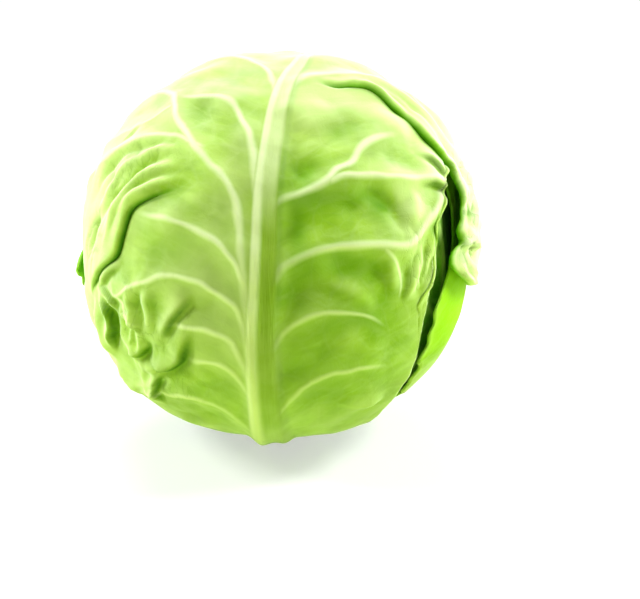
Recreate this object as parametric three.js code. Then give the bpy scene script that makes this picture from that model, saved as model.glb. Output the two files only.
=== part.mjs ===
import * as THREE from 'three';

// Cabbage head, millimetres, Z up. It stands on the cut face of its stem at z = 0.
// The widest leaf faces -Y, turned by frontAzimuth. Every leaf is a thin sheet laid over a round head.
const headCentreZ = 88;
const equatorRadius = 90;
const upperSemiAxis = 89;
const lowerSemiAxis = 82;
const lowerPower = 2.4;
const leafThickness = 1.3;
const layerPitch = 2.9;
const heartInset = 15.2;
const stumpRadius = 21;
const stumpTopRadius = 17.8;
const stumpTopZ = 19.6;
const leafCentreElevation = 32;
const frontAzimuth = -3;
const degree = Math.PI / 180;

// How high a folded edge stands over the blade below it, by distance from the crease (mm):
// distance, shift back over the crease, height.
const foldProfile = [
  [0, 0, 0], [2, -1.3, 1.9], [4, -2.2, 3.3], [6, -2.5, 4.1],
  [9, -2.3, 4.2], [14, -1.7, 3.3], [22, -0.9, 1.7], [34, 0, 0],
];

// Half width of a midrib (degrees in the flat drawing) along the leaf.
const ribAlong = [-108, -90, -50, 0, 40, 84];
const ribHalfWidth = [22, 12, 4.6, 3, 2.7, 1.6];

function clamp(value, low, high) {
  return Math.min(high, Math.max(low, value));
}

function smoothStep(low, high, value) {
  const part = clamp((value - low) / (high - low), 0, 1);
  return part * part * (3 - 2 * part);
}

// Smooth curve through hand-set knots: knots are x, values are y.
function throughKnots(knots, values, x) {
  const last = knots.length - 1;
  let index = 0;
  while (index < last - 1 && x > knots[index + 1]) {
    index += 1;
  }
  const slope = (k) => {
    const low = Math.max(0, k - 1);
    const high = Math.min(last, k + 1);
    return (values[high] - values[low]) / (knots[high] - knots[low]);
  };
  const width = knots[index + 1] - knots[index];
  const part = (x - knots[index]) / width;
  const square = part * part;
  const cube = square * part;
  return (2 * cube - 3 * square + 1) * values[index]
    + (cube - 2 * square + part) * width * slope(index)
    + (3 * square - 2 * cube) * values[index + 1]
    + (cube - square) * width * slope(index + 1);
}

function headRadius(direction) {
  const across = Math.hypot(direction.x, direction.y);
  const up = direction.z;
  if (up >= 0) {
    return 1 / Math.hypot(across / equatorRadius, up / upperSemiAxis);
  }
  const sum = (across / equatorRadius) ** lowerPower + (-up / lowerSemiAxis) ** lowerPower;
  return sum ** (-1 / lowerPower);
}

// A leaf is drawn flat round its own centre, in degrees of arc, then laid on the head.
function flatToDirection(azimuth, u, v) {
  const turn = azimuth * degree;
  const rise = leafCentreElevation * degree;
  const centre = new THREE.Vector3(
    Math.sin(turn) * Math.cos(rise), -Math.cos(turn) * Math.cos(rise), Math.sin(rise));
  const right = new THREE.Vector3(Math.cos(turn), Math.sin(turn), 0);
  const up = new THREE.Vector3().crossVectors(centre, right);
  const arc = Math.max(Math.hypot(u, v), 1e-6);
  const spread = Math.sin(arc * degree) / arc;
  return centre.multiplyScalar(Math.cos(arc * degree))
    .addScaledVector(right, u * spread)
    .addScaledVector(up, v * spread);
}

function onHead(azimuth, u, v, height) {
  const direction = flatToDirection(azimuth, u, v);
  const point = direction.clone().multiplyScalar(headRadius(direction) + height);
  point.z += headCentreZ;
  return point;
}

function distanceToRoute(route, u, v) {
  let best = 1e9;
  for (let i = 0; i + 1 < route.length; i += 1) {
    const [ax, ay] = route[i];
    const [bx, by] = route[i + 1];
    const length = (bx - ax) ** 2 + (by - ay) ** 2;
    const part = clamp(((u - ax) * (bx - ax) + (v - ay) * (by - ay)) / length, 0, 1);
    best = Math.min(best, Math.hypot(u - ax - part * (bx - ax), v - ay - part * (by - ay)));
  }
  return best;
}

// The midrib stands thick and proud near the stem and thins out towards the tip.
function ribHeight(u, v, baseHeight) {
  const along = clamp((v + 108) / 170, 0, 1);
  const halfWidth = throughKnots(ribAlong, ribHalfWidth, v);
  const height = baseHeight * (1 - along) ** 2.2 + 1.1 * (1 - along) + 0.3;
  return height * Math.max(0, 1 - (u / halfWidth) ** 2);
}

function foldAt(distance) {
  if (distance >= 34) {
    return [0, 0];
  }
  const knots = foldProfile.map((row) => row[0]);
  const back = throughKnots(knots, foldProfile.map((row) => row[1]), distance);
  const height = throughKnots(knots, foldProfile.map((row) => row[2]), distance);
  return [back, height];
}

// Turn a sheet of points (rows by columns) into one closed thin solid.
// keep(row, column) says which cells of the sheet exist.
function thickenSheet(rows, keep, splitRow) {
  const rowCount = rows.length;
  const columnCount = rows[0].length;
  const sideOf = (row) => (splitRow >= 0 && row > splitRow ? 1 : 0);
  const normalAt = (row, column) => {
    let below = Math.max(0, row - 1);
    let above = Math.min(rowCount - 1, row + 1);
    if (splitRow >= 0 && sideOf(below) !== sideOf(row)) {
      below = row;
    }
    if (splitRow >= 0 && sideOf(above) !== sideOf(row)) {
      above = row;
    }
    const left = Math.max(0, column - 1);
    const right = Math.min(columnCount - 1, column + 1);
    const across = rows[row][right].clone().sub(rows[row][left]);
    const along = rows[above][column].clone().sub(rows[below][column]);
    return across.cross(along).normalize();
  };
  const points = [];
  for (const sign of [1, -1]) {
    for (let row = 0; row < rowCount; row += 1) {
      for (let column = 0; column < columnCount; column += 1) {
        const step = sign * leafThickness / 2;
        points.push(rows[row][column].clone().addScaledVector(normalAt(row, column), step));
      }
    }
  }
  const under = rowCount * columnCount;
  const triangles = [];
  const edges = new Map();
  const addEdge = (from, to) => {
    const back = `${to}_${from}`;
    if (edges.has(back)) {
      edges.delete(back);
    } else {
      edges.set(`${from}_${to}`, [from, to]);
    }
  };
  for (let row = 0; row + 1 < rowCount; row += 1) {
    for (let column = 0; column + 1 < columnCount; column += 1) {
      if (!keep(row, column)) {
        continue;
      }
      const a = row * columnCount + column;
      const b = a + 1;
      const c = a + columnCount + 1;
      const d = a + columnCount;
      const flip = (row + column) % 2 === 0;
      const pair = flip ? [[a, b, c], [a, c, d]] : [[a, b, d], [b, c, d]];
      for (const [p, q, r] of pair) {
        triangles.push([p, q, r], [under + r, under + q, under + p]);
      }
      addEdge(a, b);
      addEdge(b, c);
      addEdge(c, d);
      addEdge(d, a);
    }
  }
  for (const [from, to] of edges.values()) {
    triangles.push([from, under + from, to], [to, under + from, under + to]);
  }
  return { points, triangles };
}

function meshFrom(name, shape, colour) {
  const used = new Map();
  const coordinates = [];
  const index = [];
  for (const triangle of shape.triangles) {
    for (const corner of triangle) {
      if (!used.has(corner)) {
        used.set(corner, used.size);
        const point = shape.points[corner];
        coordinates.push(point.x, point.y, point.z);
      }
      index.push(used.get(corner));
    }
  }
  const geometry = new THREE.BufferGeometry();
  geometry.setAttribute('position', new THREE.Float32BufferAttribute(coordinates, 3));
  geometry.setIndex(index);
  geometry.computeVertexNormals();
  const material = new THREE.MeshStandardMaterial({ color: colour, roughness: 0.55 });
  material.name = name;
  const mesh = new THREE.Mesh(geometry, material);
  mesh.name = name;
  return mesh;
}

// Even stations on both sides of a rib whose flanks get stations of their own.
function stationsAcross(perSide, flank) {
  const stations = [0];
  for (let i = 0; i < perSide; i += 1) {
    const station = flank + (1 - flank) * (i / (perSide - 1));
    stations.push(station);
    stations.unshift(-station);
  }
  return stations;
}

// Control net of the front leaf, in its flat drawing. Each row holds how far up the leaf it
// runs (t) and its points: station across the leaf (-1 to 1), u, v. The lower rows end at the
// crease on the right; the upper rows start there and carry the flap that folds over it.
const netLower = [
  { t: 0, row: [[-1, -22, -109], [-0.6, -13, -107], [0, 0, -106], [0.5, 10, -106.8], [1, 22, -109]] },
  { t: 0.12, row: [[-1, -54, -87], [-0.5, -25, -90], [0, 0, -90], [0.5, 20, -89.5], [1, 39, -86]] },
  { t: 0.353, row: [
    [-1, -94, -62], [-0.65, -60, -57], [-0.35, -30, -55], [0, 0, -55], [0.35, 19, -56],
    [0.7, 35, -60], [1, 45, -64]] },
  { t: 0.773, row: [
    [-1, -95, -33], [-0.74, -70, -27], [-0.65, -61, -21.5], [-0.57, -53, -17.5], [-0.5, -46.5, -14],
    [-0.45, -43, -8], [-0.41, -39.5, -2], [-0.35, -33, 0.5], [-0.25, -24, 2], [0, -2, 8],
    [0.35, 23, 4], [0.6, 40, -8], [0.8, 47, -24], [1, 48, -43]] },
  { t: 1, row: [
    [-1, -91, -8], [-0.65, -71, 11], [-0.35, -38, 29], [-0.12, -12, 39], [0, 0, 40],
    [0.12, 11, 37.5], [0.2, 18, 36.3], [0.25, 23, 37.8], [0.3, 28, 38.6], [0.35, 33, 36.3],
    [0.4, 37, 33], [0.48, 44, 28], [0.54, 50, 23.5], [0.6, 54, 20], [0.65, 53.2, 16],
    [0.7, 51.2, 10.5], [0.76, 51.4, 4.5], [0.82, 49.2, -1.5], [0.86, 48, -5], [0.9, 49.6, -10],
    [0.95, 49, -18], [1, 44.5, -28]] },
];
const netUpper = [
  { t: 0, row: [
    [-1, -91, -7.2], [-0.65, -71, 11.7], [-0.35, -38, 29.7], [-0.12, -12, 39.7], [0, 0, 40.7],
    [0.12, 11, 38.2], [0.2, 18, 37], [0.25, 23, 38.5], [0.3, 28, 39.4], [0.35, 33.3, 37],
    [0.4, 37.5, 33.6], [0.48, 44.6, 28.5], [0.54, 50.8, 24], [0.6, 56.8, 20.4], [0.66, 61, 16],
    [0.72, 63.6, 10.5], [0.78, 63.4, 4], [0.83, 62, -1], [0.87, 64, -5], [0.91, 60.5, -9],
    [0.95, 61.5, -14], [1, 73, -18.5]] },
  { t: 0.5, row: [
    [-1, -93, 19], [-0.65, -66, 36], [-0.35, -34, 51], [0, 2, 61], [0.35, 42, 58], [0.6, 68, 44],
    [0.8, 89, 26], [1, 106, -11]] },
  { t: 1, row: [
    [-1, -64, 56], [-0.65, -45, 67], [-0.35, -24, 77], [0, 4, 83], [0.35, 34, 80], [0.6, 56, 73],
    [0.8, 80, 58], [1, 104, 24]] },
];
const creaseLeftT = 0.773;
const lowerSpan = 235;
const upperSpan = 65;
const slitStart = 0.6;

function netPoint(net, s, t) {
  const knots = net.map((entry) => entry.t);
  const pick = (axis) => net.map((entry) => throughKnots(
    entry.row.map((point) => point[0]), entry.row.map((point) => point[axis]), s));
  return [throughKnots(knots, pick(1), t), throughKnots(knots, pick(2), t)];
}

const frontVeins = [
  [[-6, -40], [-7, -12], [-10, 2], [-22, 17], [-32, 38]],
  [[-3, -6], [-7, 20], [-18, 31.5], [-31, 36]],
  [[-5, -36], [-14, -12], [-26, -6], [-40, -1.6]],
  [[-5, -44], [-20, -22], [-34, -22], [-47, -25.5], [-59, -21]],
  [[3, -1.5], [14, 3.2], [24, 14.5], [37, 23]],
  [[14, 3.2], [30, 7], [49, 11]],
  [[4, -19], [21, -13], [37.5, -11.3], [46, -1.5], [51, 7.5]],
  [[4, -36], [18, -30.5], [35, -35]],
];

function frontRelief(u, v) {
  let height = ribHeight(u + 2, v, 3.4);
  for (const vein of frontVeins) {
    height = Math.max(height, 1.1 * Math.max(0, 1 - distanceToRoute(vein, u, v) / 5));
  }
  return height;
}

function frontLower(s, t) {
  const past = (t - creaseLeftT) * lowerSpan;
  const strength = smoothStep(0.22, 0.42, -s) * (1 - smoothStep(0.58, 0.72, -s));
  let shift = 0;
  let height = 0;
  if (past > 0 && strength > 0) {
    const [back, rise] = foldAt(past);
    shift = back * strength;
    height = rise * strength;
  }
  const fade = 1 - smoothStep(0.9, 1, t);
  const [u, v] = netPoint(netLower, s, t + shift * fade / lowerSpan);
  return onHead(frontAzimuth, u, v, height * fade + frontRelief(u, v) - leafThickness / 2);
}

function frontUpper(s, t) {
  const widening = smoothStep(0.45, 0.62, s);
  const strength = smoothStep(0.12, 0.26, s) * (0.62 + 0.38 * widening);
  const [back, rise] = foldAt(t * upperSpan * (1.6 - 0.5 * widening));
  const away = t + (back * strength) / upperSpan;
  let [u, v] = netPoint(netUpper, s, Math.max(0, away));
  if (away < 0) {
    const [nextU, nextV] = netPoint(netUpper, s, 0.02);
    u += (nextU - u) * away / 0.02;
    v += (nextV - v) * away / 0.02;
  }
  const height = rise * strength + frontRelief(u, v);
  return onHead(frontAzimuth, u, v, height - leafThickness / 2);
}

function makeFrontLeaf() {
  const across = stationsAcross(19, 0.045);
  const lowerStations = [];
  for (let i = 0; i <= 12; i += 1) {
    lowerStations.push(creaseLeftT * (i / 12));
  }
  for (const past of [3, 5.5, 9, 16, 27, 40]) {
    lowerStations.push(creaseLeftT + past / lowerSpan);
  }
  lowerStations.push(1);
  const upperStations = [0, 3, 5.5, 9, 16, 27, 40, 53, 65].map((past) => past / upperSpan);
  const rows = lowerStations.map((t) => across.map((s) => frontLower(s, t)));
  const splitRow = rows.length - 1;
  rows.push(...upperStations.map((t) => across.map((s) => frontUpper(s, t))));
  const keep = (row, column) => row !== splitRow || across[column + 1] <= slitStart + 0.01;
  return meshFrom('leaf_1', thickenSheet(rows, keep, splitRow), 0x9ccc52);
}

// The other wrapper leaves share one outline; each row of it droops towards its sides.
const wrapT = [0, 0.12, 0.36, 0.62, 0.84, 1];
const wrapV = [-106, -90, -50, 2, 42, 66];
const wrapWidth = [21, 56, 90, 97, 86, 50];
const wrapDroop = [2, 2, 6, 22, 36, 36];

// One lobe of the margin reaches forward and stands off the head; a plain leaf has none.
const noLobe = { t: 0.5, spread: 0.1, reach: 0, climb: 0, height: 0 };

function lobeAt(lobe, s, t) {
  return smoothStep(0.8, 1, s) * Math.exp(-(((t - lobe.t) / lobe.spread) ** 2));
}

function makeWrapperLeaf(name, spec) {
  const across = stationsAcross(spec.columns, 0.07);
  const height = -spec.layer * layerPitch - leafThickness / 2;
  const rows = [];
  for (let i = 0; i <= spec.rows; i += 1) {
    const t = i / spec.rows;
    const width = throughKnots(wrapT, wrapWidth, t) * spec.widthScale;
    const middle = throughKnots(wrapT, wrapV, t) * spec.lengthScale - 106 * (1 - spec.lengthScale);
    const droop = throughKnots(wrapT, wrapDroop, t);
    rows.push(across.map((s) => {
      const lobe = lobeAt(spec.lobe, s, t);
      const u = s * width + lobe * spec.lobe.reach;
      const v = middle - droop * s * s + lobe * spec.lobe.climb;
      return onHead(spec.azimuth, u, v, height + lobe * spec.lobe.height + ribHeight(u, v, spec.rib));
    }));
  }
  return meshFrom(name, thickenSheet(rows, () => true, -1), spec.colour);
}

// Dense ball of packed inner leaves.
function makeInnerHead() {
  const aroundCount = 30;
  const upCount = 18;
  const points = [];
  const triangles = [];
  const place = (elevation, turn) => {
    const direction = new THREE.Vector3(
      Math.cos(elevation) * Math.sin(turn), -Math.cos(elevation) * Math.cos(turn), Math.sin(elevation));
    const point = direction.clone().multiplyScalar(headRadius(direction) - heartInset);
    point.z += headCentreZ;
    return point;
  };
  points.push(place(-Math.PI / 2, 0));
  for (let i = 1; i < upCount; i += 1) {
    for (let j = 0; j < aroundCount; j += 1) {
      points.push(place(-Math.PI / 2 + Math.PI * (i / upCount), 2 * Math.PI * (j / aroundCount)));
    }
  }
  points.push(place(Math.PI / 2, 0));
  const at = (i, j) => 1 + (i - 1) * aroundCount + (j % aroundCount);
  const top = points.length - 1;
  for (let j = 0; j < aroundCount; j += 1) {
    triangles.push([0, at(1, j + 1), at(1, j)]);
    triangles.push([top, at(upCount - 1, j), at(upCount - 1, j + 1)]);
    for (let i = 1; i + 1 < upCount; i += 1) {
      triangles.push([at(i, j), at(i, j + 1), at(i + 1, j + 1)]);
      triangles.push([at(i, j), at(i + 1, j + 1), at(i + 1, j)]);
    }
  }
  return meshFrom('inner_head', { points, triangles }, 0xd9e6a0);
}

// Trimmed stump: a short tapered stem with a flat cut end.
function makeStem() {
  const profile = [
    new THREE.Vector2(0, 0),
    new THREE.Vector2(stumpRadius - 1.2, 0),
    new THREE.Vector2(stumpRadius, 1.2),
    new THREE.Vector2(stumpRadius - 0.3, 6),
    new THREE.Vector2(stumpTopRadius, stumpTopZ),
    new THREE.Vector2(0, stumpTopZ),
  ];
  const around = 32;
  const points = [new THREE.Vector3(0, 0, 0)];
  for (let i = 1; i < profile.length - 1; i += 1) {
    for (let j = 0; j < around; j += 1) {
      const turn = 2 * Math.PI * (j / around);
      points.push(new THREE.Vector3(profile[i].x * Math.cos(turn), profile[i].x * Math.sin(turn), profile[i].y));
    }
  }
  points.push(new THREE.Vector3(0, 0, stumpTopZ));
  const at = (i, j) => 1 + (i - 1) * around + (j % around);
  const top = points.length - 1;
  const triangles = [];
  for (let j = 0; j < around; j += 1) {
    triangles.push([0, at(1, j + 1), at(1, j)]);
    triangles.push([top, at(4, j), at(4, j + 1)]);
    for (let i = 1; i < 4; i += 1) {
      triangles.push([at(i, j), at(i, j + 1), at(i + 1, j + 1)]);
      triangles.push([at(i, j), at(i + 1, j + 1), at(i + 1, j)]);
    }
  }
  return meshFrom('stem', { points, triangles }, 0xe6e4b8);
}

const wrappers = [
  ['leaf_2', { azimuth: 150, layer: 1, columns: 12, rows: 26, widthScale: 1.1, lengthScale: 0.97,
    rib: 4.2, colour: 0x8fc447,
    lobe: { t: 0.76, spread: 0.12, reach: 10, climb: 12, height: 11 } }],
  ['leaf_3', { azimuth: -92, layer: 2, columns: 9, rows: 20, widthScale: 0.84, lengthScale: 0.92,
    rib: 3.8, colour: 0x97c94c, lobe: noLobe }],
  ['leaf_4', { azimuth: 62, layer: 3, columns: 9, rows: 20, widthScale: 0.8, lengthScale: 0.92,
    rib: 3.4, colour: 0xa2cf58, lobe: noLobe }],
  ['leaf_5', { azimuth: -140, layer: 4, columns: 8, rows: 19, widthScale: 0.74, lengthScale: 0.9,
    rib: 2, colour: 0xaad462, lobe: noLobe }],
];

const cabbage = new THREE.Group();
cabbage.name = 'cabbage_head';
cabbage.add(makeStem());
cabbage.add(makeInnerHead());
cabbage.add(makeFrontLeaf());
for (const [name, spec] of wrappers) {
  cabbage.add(makeWrapperLeaf(name, spec));
}

export default cabbage;
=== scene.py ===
import bpy
import bmesh
import math
import numpy as np
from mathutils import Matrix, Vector


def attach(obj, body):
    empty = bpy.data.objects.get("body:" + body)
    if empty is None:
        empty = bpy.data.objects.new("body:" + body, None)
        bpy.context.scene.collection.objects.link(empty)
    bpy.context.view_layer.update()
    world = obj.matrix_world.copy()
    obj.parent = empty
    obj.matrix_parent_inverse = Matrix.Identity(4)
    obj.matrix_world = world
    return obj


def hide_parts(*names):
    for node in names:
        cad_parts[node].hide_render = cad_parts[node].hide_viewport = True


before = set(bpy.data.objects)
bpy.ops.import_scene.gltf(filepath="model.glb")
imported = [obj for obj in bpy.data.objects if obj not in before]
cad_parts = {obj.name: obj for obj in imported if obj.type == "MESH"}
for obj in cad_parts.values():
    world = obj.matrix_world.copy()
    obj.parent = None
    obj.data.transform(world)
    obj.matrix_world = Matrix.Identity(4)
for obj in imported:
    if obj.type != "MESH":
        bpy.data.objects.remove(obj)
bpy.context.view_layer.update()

# Cabbage head, stem down, front leaf towards -Y. Shapes are worked out in millimetres and
# in degrees over the head, and turned into metres when they are laid down.
head = {
    "centreZ": 88.0,
    "equatorRadius": 90.0,
    "upperSemiAxis": 89.0,
    "lowerSemiAxis": 82.0,
    "lowerPower": 2.4,              # above 2 the underside is fuller than an ellipse
    "leafCentreElevation": 32.0,    # where a leaf's flat drawing touches the head, degrees
    "leafBase": -106.0,             # how far below that a leaf begins, degrees
    "layerPitch": 2.9,              # from one layer of leaves down to the next
    "leafMiddle": 0.65,             # depth of a leaf's middle under the head's form
}
metresPerMm = 0.001
mmPerDegree = 1.57                  # along the head's surface
veinChannels = 4


def srgb(red, green, blue):
    channels = [value / 255.0 for value in (red, green, blue)]
    channels = [part / 12.92 if part <= 0.04045 else ((part + 0.055) / 1.055) ** 2.4 for part in channels]
    return (*channels, 1.0)


def smoothStep(low, high, value):
    part = np.clip((value - low) / (high - low), 0.0, 1.0)
    return part * part * (3.0 - 2.0 * part)


def between(value, start, full, last, end):
    # 0 before start, 1 from full to last, 0 again after end
    return smoothStep(start, full, value) * smoothStep(end, last, value)


def hump(value, reach):
    # 1 at zero, dying away on both sides
    return np.exp(-(value / reach) ** 2)


def throughKnots(knots, values, x):
    # smooth curve through knots; values may be numbers or one array for each knot
    knots = np.asarray(knots, dtype=float)
    values = np.asarray(values, dtype=float)
    x = np.asarray(x, dtype=float)
    last = len(knots) - 1
    index = np.clip(np.searchsorted(knots, x, side="right") - 1, 0, last - 1)
    before = np.clip(np.arange(last + 1) - 1, 0, last)
    after = np.clip(np.arange(last + 1) + 1, 0, last)
    spans = knots[after] - knots[before]
    slopes = (values[after] - values[before]) / (spans[:, None] if values.ndim == 2 else spans)
    width = knots[index + 1] - knots[index]
    part = (x - knots[index]) / width
    square = part * part
    cube = square * part
    here, following = index, index + 1
    if values.ndim == 2:
        pick = np.arange(x.size)
        here, following = (index, pick), (index + 1, pick)
    return ((2 * cube - 3 * square + 1) * values[here] + (cube - 2 * square + part) * width * slopes[here]
            + (3 * square - 2 * cube) * values[following] + (cube - square) * width * slopes[following])


def softNoise(u, v, size, seed):
    # smooth random field from -1 to 1; size is its grain in degrees over the head
    table = np.random.default_rng(seed).uniform(-1.0, 1.0, (64, 64))
    x = u / size + 17.3
    y = v / size + 31.7
    column = np.floor(x).astype(int)
    row = np.floor(y).astype(int)
    partX = x - column
    partY = y - row
    partX = partX * partX * (3 - 2 * partX)
    partY = partY * partY * (3 - 2 * partY)

    def corner(across, up):
        return table[(column + across) % 64, (row + up) % 64]

    low = corner(0, 0) * (1 - partX) + corner(1, 0) * partX
    high = corner(0, 1) * (1 - partX) + corner(1, 1) * partX
    return low * (1 - partY) + high * partY


def turnedAxes(u, v, lean):
    # distances along and across a direction that is lean degrees up from the right
    turn = math.radians(lean)
    return u * math.cos(turn) + v * math.sin(turn), v * math.cos(turn) - u * math.sin(turn)


def streaks(u, v, size, lean, seed):
    # the random field drawn out 2.5 times along a direction
    lengthwise, crosswise = turnedAxes(u, v, lean)
    return softNoise(lengthwise * 0.4, crosswise, size, seed)


def headRadius(across, up):
    # from the head's centre to its surface, in a direction given by its parts across and up
    upper = 1.0 / np.hypot(across / head["equatorRadius"], up / head["upperSemiAxis"])
    power = head["lowerPower"]
    down = np.clip(-up, 0.0, None)
    lower = (across / head["equatorRadius"]) ** power + (down / head["lowerSemiAxis"]) ** power
    return np.where(up >= 0, upper, lower ** (-1 / power))


def layOnHead(azimuth, u, v, height):
    # u and v are degrees right and up from where the drawing touches the head
    turn = math.radians(azimuth)
    rise = math.radians(head["leafCentreElevation"])
    centre = np.array([math.sin(turn) * math.cos(rise), -math.cos(turn) * math.cos(rise), math.sin(rise)])
    right = np.array([math.cos(turn), math.sin(turn), 0.0])
    up = np.cross(centre, right)
    arc = np.maximum(np.hypot(u, v), 1e-6)
    angle = np.radians(arc)
    spread = np.sin(angle) / arc
    direction = (np.cos(angle)[:, None] * centre + (u * spread)[:, None] * right
                 + (v * spread)[:, None] * up)
    radius = headRadius(np.hypot(direction[:, 0], direction[:, 1]), direction[:, 2])
    place = direction * (radius + (height - head["leafMiddle"]))[:, None]
    place[:, 2] += head["centreZ"]
    return place * metresPerMm


def alongRoute(route, u, v):
    # distance (mm) from a route, how far along it (0 to 1), and which side (+1 on its left)
    route = np.asarray(route, dtype=float)
    best = np.full(u.shape, 1e9)
    where = np.zeros(u.shape)
    side = np.ones(u.shape)
    lengths = np.hypot(*(route[1:] - route[:-1]).T)
    total = lengths.sum()
    done = 0.0
    for (ax, ay), (bx, by), length in zip(route[:-1], route[1:], lengths):
        part = np.clip(((u - ax) * (bx - ax) + (v - ay) * (by - ay)) / length ** 2, 0.0, 1.0)
        offU = u - ax - part * (bx - ax)
        offV = v - ay - part * (by - ay)
        distance = np.hypot(offU, offV)
        closer = distance < best
        best = np.where(closer, distance, best)
        where = np.where(closer, (done + part * length) / total, where)
        side = np.where(closer, np.sign((bx - ax) * offV - (by - ay) * offU + 1e-9), side)
        done += length
    return best * mmPerDegree, where, side


def roundRoute(route, steps=4):
    # the same route with its corners rounded
    route = np.asarray(route, dtype=float)
    knots = np.arange(len(route), dtype=float)
    fine = np.linspace(0, len(route) - 1, (len(route) - 1) * steps + 1)
    return np.stack([throughKnots(knots, route[:, axis], fine) for axis in (0, 1)], axis=1)


def addToScene(name, data):
    holder = bpy.data.objects.new(name, data)
    bpy.context.scene.collection.objects.link(holder)
    return holder


def pieceFrom(shape, name):
    # the finished bmesh becomes an object in the scene
    mesh = bpy.data.meshes.new(name)
    shape.to_mesh(mesh)
    shape.free()
    return addToScene(name, mesh)


def sheetMesh(name, columnStations, rowCount, place, cutAway=None):
    # place(s, row) gives each grid point's spot, flat drawing and masks; cells that cutAway names go
    columns = len(columnStations) - 1
    rows = rowCount - 1
    sheet = bmesh.new()
    bmesh.ops.create_grid(sheet, x_segments=columns, y_segments=rows, size=1.0)
    sheet.verts.ensure_lookup_table()
    flat = np.array([vert.co[:2] for vert in sheet.verts])
    column = np.rint((flat[:, 0] + 1) / 2 * columns).astype(int)
    row = np.rint((flat[:, 1] + 1) / 2 * rows).astype(int)
    points, u, v, masks = place(np.asarray(columnStations)[column], row)
    if cutAway is not None:
        doomed = []
        for face in sheet.faces:
            middle = face.calc_center_median()
            cellColumn = int((middle.x + 1) / 2 * columns)
            cellRow = int((middle.y + 1) / 2 * rows)
            if cutAway(columnStations[cellColumn + 1], cellRow):
                doomed.append(face)
        bmesh.ops.delete(sheet, geom=doomed, context="FACES_ONLY")
    layers = {key: sheet.verts.layers.float.new(key) for key in masks}
    placeLayer = sheet.verts.layers.float_vector.new("leafPlace")
    for index, vert in enumerate(sheet.verts):
        vert.co = points[index]
        vert[placeLayer] = (u[index], v[index], 0.0)
        for key, layer in layers.items():
            vert[layer] = masks[key][index]
    loose = [vert for vert in sheet.verts if not vert.link_faces]
    bmesh.ops.delete(sheet, geom=loose, context="VERTS")
    for face in sheet.faces:
        face.smooth = True
    return pieceFrom(sheet, name)


def giveThickness(piece, millimetres):
    wall = piece.modifiers.new("leafThickness", "SOLIDIFY")
    wall.thickness = millimetres * metresPerMm
    wall.offset = 0.0
    wall.use_rim = True


# camera
view = {
    "elevation": 18.0,
    "distance": 0.703,
    "lens": 85.0,
    "panDegrees": -1.61,
    "tiltDegrees": 19.99,
}
cameraData = bpy.data.cameras.new("productCamera")
cameraData.lens = view["lens"]
cameraData.sensor_width = 36.0
camera = addToScene("productCamera", cameraData)
rise = math.radians(view["elevation"])
camera.location = (0.0, -view["distance"] * math.cos(rise),
                   head["centreZ"] * metresPerMm + view["distance"] * math.sin(rise))
camera.rotation_euler = (math.radians(90.0 - view["tiltDegrees"]), 0.0, math.radians(view["panDegrees"]))
bpy.context.scene.camera = camera

# lights and floor, in metres; the floor is white to the camera and throws leaf-green light back up
studio = {
    "worldStrength": 0.12,
    "aim": (0.0, 0.0, 0.09),
    "softLights": [     # name, place, width, power
        ("keyLight", (-0.85, -0.12, 0.70), 0.35, 10.0),
        ("rimLight", (0.80, -0.12, 0.85), 0.35, 11.8),
        ("leftEdgeLight", (-0.95, 0.42, 0.30), 0.5, 5.0),
        ("rightEdgeLight", (0.95, 0.42, 0.34), 0.5, 7.0),
    ],
    "topStrength": 2.2,
    "topWidth": 35.0,   # degrees
    "topDirection": (0.1, -0.5, -1.0),
    "floorHalfWidth": 25.0,
    "floorColour": srgb(190, 190, 189),
    "floorRoughness": 0.7,
    "floorGlow": 0.49,
    "bounceColour": srgb(212, 230, 136),
}
world = bpy.data.worlds.new("studioWorld")
world.use_nodes = True
world.node_tree.nodes["Background"].inputs["Color"].default_value = (1.0, 1.0, 1.0, 1.0)
world.node_tree.nodes["Background"].inputs["Strength"].default_value = studio["worldStrength"]
bpy.context.scene.world = world
for name, place, width, power in studio["softLights"]:
    lamp = bpy.data.lights.new(name, "AREA")
    lamp.shape = "DISK"
    lamp.size = width
    lamp.energy = power
    holder = addToScene(name, lamp)
    holder.location = place
    holder.rotation_euler = (Vector(studio["aim"]) - Vector(place)).to_track_quat("-Z", "Y").to_euler()
sun = bpy.data.lights.new("topLight", "SUN")
sun.energy = studio["topStrength"]
sun.angle = math.radians(studio["topWidth"])
sunHolder = addToScene("topLight", sun)
sunHolder.rotation_euler = Vector(studio["topDirection"]).to_track_quat("-Z", "Y").to_euler()


def feed(tree, node, inputs):
    # plain values are set on the node's inputs, outputs of other nodes are linked to them
    for socket, value in inputs.items():
        if isinstance(value, (int, float, tuple)):
            node.inputs[socket].default_value = value
        else:
            tree.links.new(value, node.inputs[socket])
    return node


def newMaterial(name):
    material = bpy.data.materials.new(name)
    material.use_nodes = True
    return material, material.node_tree, material.node_tree.nodes["Principled BSDF"]


floorShape = bmesh.new()
bmesh.ops.create_grid(floorShape, x_segments=1, y_segments=1, size=studio["floorHalfWidth"])
studioFloor = pieceFrom(floorShape, "studioFloor")
floorMaterial, floorTree, floorShader = newMaterial("studioFloor")
feed(floorTree, floorShader, {
    "Base Color": studio["floorColour"], "Roughness": studio["floorRoughness"],
    "Emission Color": (1.0, 1.0, 1.0, 1.0), "Emission Strength": studio["floorGlow"]})
bounce = feed(floorTree, floorTree.nodes.new("ShaderNodeBsdfDiffuse"), {"Color": studio["bounceColour"]})
seen = floorTree.nodes.new("ShaderNodeLightPath")
floorMix = feed(floorTree, floorTree.nodes.new("ShaderNodeMixShader"),
                {0: seen.outputs["Is Camera Ray"], 1: bounce.outputs["BSDF"], 2: floorShader.outputs["BSDF"]})
feed(floorTree, floorTree.nodes["Material Output"], {"Surface": floorMix.outputs["Shader"]})
studioFloor.data.materials.append(floorMaterial)
print("camera, light and floor are set")

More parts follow.
